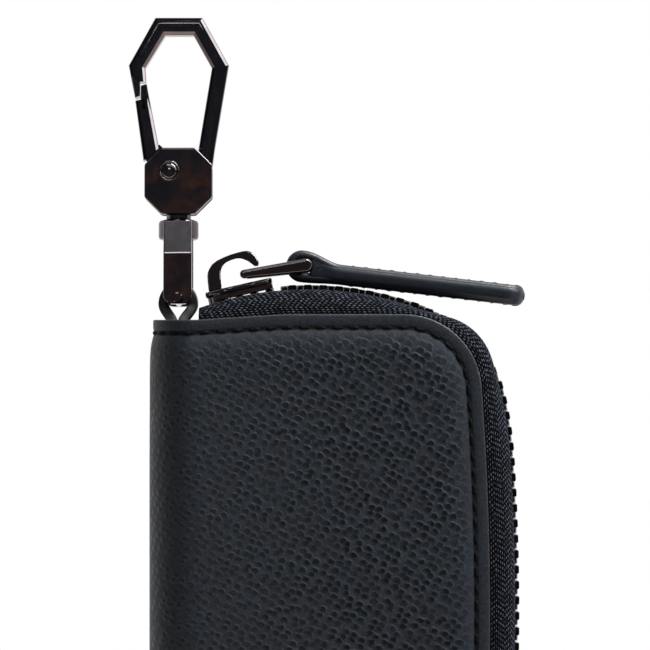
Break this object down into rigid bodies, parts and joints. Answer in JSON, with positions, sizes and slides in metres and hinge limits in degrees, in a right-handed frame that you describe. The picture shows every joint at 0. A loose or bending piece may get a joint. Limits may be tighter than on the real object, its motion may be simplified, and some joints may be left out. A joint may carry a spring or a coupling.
{
  "type": "key case",
  "caption": "Zip-around leather key case that opens flat on its spine, with a swivel snap hook and key hooks inside.",
  "frame": {"origin": "centre of the back cover's outer face, on the surface it lies on", "axes": "+Z from the back cover to the front cover, +Y along the case towards the snap hook, +X from the spine to the zip's long side"},
  "size_m": [0.073, 0.1681, 0.021],
  "materials": {
    "cover_leather": "dark grained leather with a soft sheen",
    "strap_leather": "dark leather with painted edges",
    "pocket_leather": "thin smooth leather",
    "lining": "fine woven lining",
    "board": "plain stiffener board",
    "zip_tape": "herringbone woven tape",
    "gunmetal": "polished black nickel",
    "nickel": "nickel-plated steel"
  },
  "bodies": {
    "back_half": {"back_cover": "cover_leather", "back_board": "board", "back_lining": "lining", "back_tape": "zip_tape", "back_teeth": "gunmetal", "back_stop": "gunmetal", "hook_rail": "nickel", "rail_rivets": "nickel", "key_bar": "nickel"},
    "spine": {"spine_cover": "cover_leather", "spine_lining": "lining", "loop_patch": "strap_leather"},
    "front_half": {"front_cover": "cover_leather", "front_board": "board", "front_lining": "lining", "front_tape": "zip_tape", "front_teeth": "gunmetal", "front_stop": "gunmetal", "card_pocket_low": "pocket_leather", "card_pocket_high": "pocket_leather"},
    "slider": {"slider_body": "gunmetal", "slider_crown": "gunmetal"},
    "pull_link": {"pull_link": "gunmetal"},
    "pull_strap": {"pull_strap": "strap_leather"},
    "clip_loop": {"clip_loop": "strap_leather"},
    "swivel_eye": {"swivel_eye": "gunmetal"},
    "snap_hook": {"swivel_post": "gunmetal", "clip_frame": "gunmetal", "gate_rivet": "gunmetal", "gate_spring": "nickel"},
    "gate": {"gate": "gunmetal"},
    "key_hook_1": {"key_hook_1": "nickel"},
    "key_hook_2": {"key_hook_2": "nickel"},
    "key_hook_3": {"key_hook_3": "nickel"},
    "key_hook_4": {"key_hook_4": "nickel"},
    "key_hook_5": {"key_hook_5": "nickel"},
    "key_hook_6": {"key_hook_6": "nickel"}
  },
  "joints": [
    {"name": "spine_fold", "type": "hinge", "parent": "back_half", "child": "spine", "pos_m": [-0.02878, 0, 0.00172], "axis": [0, -1, 0], "range_deg": [0, 90]},
    {"name": "cover_fold", "type": "hinge", "parent": "spine", "child": "front_half", "pos_m": [-0.02878, 0, 0.01928], "axis": [0, -1, 0], "range_deg": [0, 90]},
    {"name": "slider_travel", "type": "hinge", "parent": "back_half", "child": "slider", "pos_m": [-0.0023, -0.0006, 0.0105], "axis": [0, 0, -1], "range_deg": [0, 24], "deforming": ["back_teeth", "front_teeth"]},
    {"name": "link_swing", "type": "hinge", "parent": "slider", "child": "pull_link", "pos_m": [-0.01383, 0.0613, 0.0105], "axis": [0, 0, 1], "range_deg": [0, 95]},
    {"name": "strap_swing", "type": "hinge", "parent": "pull_link", "child": "pull_strap", "pos_m": [-0.00338, 0.06277, 0.0105], "axis": [0, 0, 1], "range_deg": [0, 100]},
    {"name": "loop_flex", "type": "hinge", "parent": "spine", "child": "clip_loop", "pos_m": [-0.0262, 0.0505, 0.0084], "axis": [1, 0, 0], "range_deg": [0, 30]},
    {"name": "eye_swing", "type": "hinge", "parent": "clip_loop", "child": "swivel_eye", "pos_m": [-0.0262, 0.05675, 0.0054], "axis": [0, 0.0628, 0.998], "range_deg": [-8, 40]},
    {"name": "hook_swivel", "type": "hinge", "parent": "swivel_eye", "child": "snap_hook", "pos_m": [-0.0262, 0.06972, 0.00458], "axis": [0, 0.998, -0.0628], "continuous": true},
    {"name": "gate_swing", "type": "hinge", "parent": "snap_hook", "child": "gate", "pos_m": [-0.0279, 0.0803, 0.00392], "axis": [0, -0.0628, -0.998], "range_deg": [0, 25], "stiffness_Nm_per_rad": 0.01, "springref_deg": -17.19, "deforming": ["gate_spring"]},
    {"name": "key_hook_1_swing", "type": "hinge", "parent": "back_half", "child": "key_hook_1", "pos_m": [-0.0165, 0.038, 0.0058], "axis": [-1, 0, 0], "range_deg": [0, 90]},
    {"name": "key_hook_2_swing", "type": "hinge", "parent": "back_half", "child": "key_hook_2", "pos_m": [-0.0095, 0.038, 0.0058], "axis": [-1, 0, 0], "range_deg": [0, 90]},
    {"name": "key_hook_3_swing", "type": "hinge", "parent": "back_half", "child": "key_hook_3", "pos_m": [-0.0025, 0.038, 0.0058], "axis": [-1, 0, 0], "range_deg": [0, 90]},
    {"name": "key_hook_4_swing", "type": "hinge", "parent": "back_half", "child": "key_hook_4", "pos_m": [0.0045, 0.038, 0.0058], "axis": [-1, 0, 0], "range_deg": [0, 90]},
    {"name": "key_hook_5_swing", "type": "hinge", "parent": "back_half", "child": "key_hook_5", "pos_m": [0.0115, 0.038, 0.0058], "axis": [-1, 0, 0], "range_deg": [0, 90]},
    {"name": "key_hook_6_swing", "type": "hinge", "parent": "back_half", "child": "key_hook_6", "pos_m": [0.0185, 0.038, 0.0058], "axis": [-1, 0, 0], "range_deg": [0, 90]}
  ],
  "couplings": [
    {"joint": "cover_fold", "follows": "spine_fold", "ratio": 1}
  ]
}
